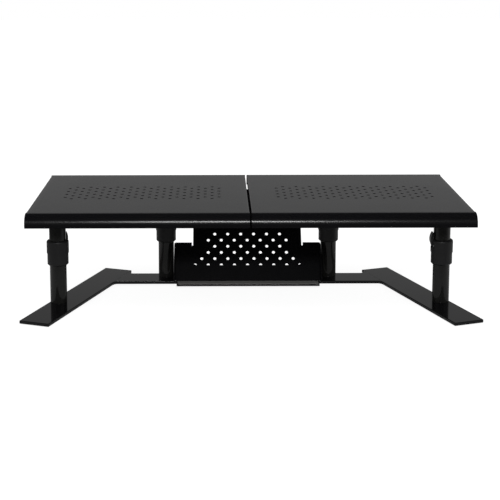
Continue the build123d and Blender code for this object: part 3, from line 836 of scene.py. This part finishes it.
# Floor: a plain pale paper sweep. The camera sees it white with the object's soft shadow kept,
# and it throws a pale light back on the object. The coats mirror it pale under and behind the
# object, and dark further out in front and on the left, where no lamp reaches it.
# Its size and the places on it are in metres, and a glow is a share of full white.
floor_size = 14.0
dark_front, lit_rear = -0.55, 0.1
dark_left, lit_left = -0.85, -0.5
mirrored_glow = 0.3
seen_glow = 0.9
sweep = bpy.data.materials.new("paper_sweep")
sweep.use_nodes = True
tree = sweep.node_tree
tree.nodes.clear()
path = add_node(tree, "ShaderNodeLightPath")
paper = add_node(tree, "ShaderNodeBsdfDiffuse", {"Color": linear("#c4c4c4")})
place = add_node(tree, "ShaderNodeTexCoord").outputs["Object"]
spot_on_floor = add_node(tree, "ShaderNodeSeparateXYZ", links={"Vector": place})
lit = add_node(
    tree, "ShaderNodeMapRange", {"From Min": dark_front, "From Max": lit_rear},
    {"Value": spot_on_floor.outputs["Y"]}, interpolation_type="SMOOTHSTEP",
)
near = add_node(
    tree, "ShaderNodeMapRange", {"From Min": dark_left, "From Max": lit_left},
    {"Value": spot_on_floor.outputs["X"]}, interpolation_type="SMOOTHSTEP",
)
pale = add_node(
    tree, "ShaderNodeMath", links={0: lit.outputs["Result"], 1: near.outputs["Result"]},
    operation="MULTIPLY",
)
shading = add_node(tree, "ShaderNodeValToRGB", links={"Fac": pale.outputs["Value"]})
shading.color_ramp.elements[0].color = linear("#303030")
shading.color_ramp.elements[1].color = linear("#aaaaaa")
dim = add_node(tree, "ShaderNodeBsdfDiffuse", links={"Color": shading.outputs["Color"]})
lift = add_node(
    tree, "ShaderNodeEmission", {"Strength": mirrored_glow}, {"Color": shading.outputs["Color"]}
)
lifted = add_node(tree, "ShaderNodeAddShader", links={0: dim.outputs[0], 1: lift.outputs[0]})
shade = add_node(tree, "ShaderNodeBsdfDiffuse", {"Color": linear("#8c8c8c")})
white = add_node(
    tree, "ShaderNodeEmission", {"Color": linear("#ffffff"), "Strength": seen_glow}
)
seen = add_node(tree, "ShaderNodeAddShader", links={0: white.outputs[0], 1: shade.outputs[0]})
mirrored = add_node(
    tree, "ShaderNodeMixShader",
    links={0: path.outputs["Is Glossy Ray"], 1: paper.outputs[0], 2: lifted.outputs[0]},
)
choice = add_node(
    tree, "ShaderNodeMixShader",
    links={0: path.outputs["Is Camera Ray"], 1: mirrored.outputs[0], 2: seen.outputs[0]},
)
add_node(tree, "ShaderNodeOutputMaterial", links={"Surface": choice.outputs[0]})
corners = np.array([[-1, -1, 0], [1, -1, 0], [-1, 1, 0], [1, 1, 0]]) * floor_size / 2 / mm
floor = surface("floor", [(corners.reshape(2, 2, 3), None)], sweep)

# Room: white behind the object. What the coats mirror is bright low down, behind the object and
# at its sides, and falls off overhead and to the front, as with a lit backdrop in a dark studio.
# A direction is told by one part of its unit vector, and a level is a share of full white.
rear_from, rear_full = -0.1, 0.6
side_from, side_full = 0.3, 0.8
front_share = 0.22
glow_top, dark_from = 0.1, 0.58
glow_level = 0.34
studio_level = 0.014
ambient_light = (0.55, 0.55, 0.55, 1)
world = bpy.data.worlds.new("studio")
bpy.context.scene.world = world
world.use_nodes = True
tree = world.node_tree
tree.nodes.clear()
path = add_node(tree, "ShaderNodeLightPath")
heading = add_node(
    tree, "ShaderNodeSeparateXYZ",
    links={"Vector": add_node(tree, "ShaderNodeTexCoord").outputs["Generated"]},
)
behind = add_node(
    tree, "ShaderNodeMapRange", {"From Min": rear_from, "From Max": rear_full},
    {"Value": heading.outputs["Y"]}, interpolation_type="SMOOTHSTEP",
)
sideways = add_node(
    tree, "ShaderNodeMath", links={0: heading.outputs["X"]}, operation="ABSOLUTE"
)
at_sides = add_node(
    tree, "ShaderNodeMapRange", {"From Min": side_from, "From Max": side_full},
    {"Value": sideways.outputs["Value"]}, interpolation_type="SMOOTHSTEP",
)
around = add_node(
    tree, "ShaderNodeMath", links={0: behind.outputs["Result"], 1: at_sides.outputs["Result"]},
    operation="MAXIMUM",
)
backdrop_glow = add_node(
    tree, "ShaderNodeMapRange", {"To Min": front_share, "To Max": 1.0},
    {"Value": around.outputs["Value"]},
)
fall = add_node(tree, "ShaderNodeValToRGB", links={"Fac": heading.outputs["Z"]})
fall.color_ramp.elements[0].position = glow_top
fall.color_ramp.elements[0].color = (1, 1, 1, 1)
fall.color_ramp.elements[1].position = dark_from
fall.color_ramp.elements[1].color = (0, 0, 0, 1)
glow = add_node(
    tree, "ShaderNodeMath",
    links={0: backdrop_glow.outputs["Result"], 1: fall.outputs["Color"]}, operation="MULTIPLY",
)
level = add_node(
    tree, "ShaderNodeMath", {1: glow_level, 2: studio_level}, {0: glow.outputs["Value"]},
    operation="MULTIPLY_ADD",
)
mirrored = add_node(
    tree, "ShaderNodeBackground", {"Color": (1, 1, 1, 1)}, {"Strength": level.outputs["Value"]}
)
ambient = add_node(tree, "ShaderNodeBackground", {"Color": ambient_light})
backdrop = add_node(tree, "ShaderNodeBackground", {"Color": (1, 1, 1, 1)})
unseen = add_node(
    tree, "ShaderNodeMixShader",
    links={0: path.outputs["Is Glossy Ray"], 1: ambient.outputs[0], 2: mirrored.outputs[0]},
)
choice = add_node(
    tree, "ShaderNodeMixShader",
    links={0: path.outputs["Is Camera Ray"], 1: unseen.outputs[0], 2: backdrop.outputs[0]},
)
add_node(tree, "ShaderNodeOutputWorld", links={"Surface": choice.outputs[0]})

# Lamps: a low, wide softbox above the camera, which draws the line along the rolled edges, and
# a wide diffuser overhead that lights but isn't mirrored. Places and sizes are in metres and
# powers in watts.
for name, spot, target, size, power, mirrored_too in (
    ("softbox", (-0.03, -2.05, 1.14), (-0.03, -0.1, 0.13), (0.62, 0.2), 14.0, True),
    ("diffuser", (0, 0, 2.2), (0, 0, 0), (2.4, 2.4), 22.0, False),
):
    lamp = bpy.data.lights.new(name, "AREA")
    lamp.shape = "RECTANGLE"
    lamp.size, lamp.size_y = size
    lamp.energy = power
    fixture = bpy.data.objects.new(name, lamp)
    fixture.location = spot
    aim = Vector(target) - Vector(spot)
    fixture.rotation_euler = aim.to_track_quat("-Z", "Y").to_euler()
    fixture.visible_glossy = mirrored_too
    bpy.context.scene.collection.objects.link(fixture)

# Camera: the photograph's place, pitch and focal length. The photograph is cropped off centre,
# and the shift gives that. Its focal length and its lens's centre are in pixels of the photograph.
photo_side = 500
focal_length = 1189.83
centre_column, centre_row = 215.71, 114.29
sensor_width = 36.0
camera_place = (-0.05494, -1.9663, 0.59243)
pitch, tilt = 0.145112, -0.0023856
camera = bpy.data.cameras.new("camera")
camera.sensor_width = sensor_width
camera.lens = sensor_width * focal_length / photo_side
camera.shift_x = (photo_side / 2 - centre_column) / photo_side
camera.shift_y = (centre_row - photo_side / 2) / photo_side
viewer = bpy.data.objects.new("camera", camera)
turn = Matrix.Rotation(pi / 2 - pitch, 4, "X") @ Matrix.Rotation(tilt, 4, "Z")
viewer.matrix_world = Matrix.Translation(camera_place) @ turn
bpy.context.scene.collection.objects.link(viewer)
bpy.context.scene.camera = viewer
bpy.context.scene.view_settings.view_transform = "Standard"
